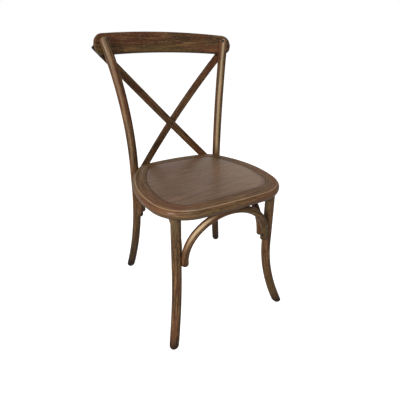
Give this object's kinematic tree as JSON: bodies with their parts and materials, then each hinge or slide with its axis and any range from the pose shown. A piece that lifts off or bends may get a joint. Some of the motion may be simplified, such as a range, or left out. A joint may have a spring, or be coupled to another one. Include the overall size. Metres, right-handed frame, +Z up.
{
  "type": "cross back dining chair",
  "caption": "Bent wood dining chair with crossed back slats, a curved crest rail, bowed rear legs, sabre front legs, hoop braces and a rounded seat",
  "frame": {"origin": "middle of the chair's footprint on the floor", "axes": "+Z up, the sitter faces -Y, +X is at the sitter's left hand"},
  "size_m": [0.5163, 0.5231, 0.8999],
  "materials": {
    "frame_wood": "fruitwood stain under a satin lacquer, worn lighter along the rods",
    "seat_wood": "fruitwood stain under a satin lacquer, greyer on the seat's top",
    "panel_wood": "greyish brown stained plywood under a satin lacquer",
    "screw_steel": "blackened steel",
    "glide_plastic": "dark brown moulded plastic"
  },
  "bodies": {
    "root": {"seat_ring": "seat_wood", "seat_panel": "panel_wood", "left_rear_leg": "frame_wood", "right_rear_leg": "frame_wood", "left_front_leg": "frame_wood", "right_front_leg": "frame_wood", "front_arch": "frame_wood", "rear_arch": "frame_wood", "left_arch": "frame_wood", "right_arch": "frame_wood", "crest_rail": "frame_wood", "front_cross_slat": "frame_wood", "rear_cross_slat": "frame_wood", "crest_screws": "screw_steel", "slat_head_screws": "screw_steel", "slat_foot_screws": "screw_steel", "crossing_screw": "screw_steel", "rear_leg_bolts": "screw_steel", "arch_leg_screws": "screw_steel", "arch_seat_screws": "screw_steel", "foot_glides": "glide_plastic"}
  },
  "joints": []
}
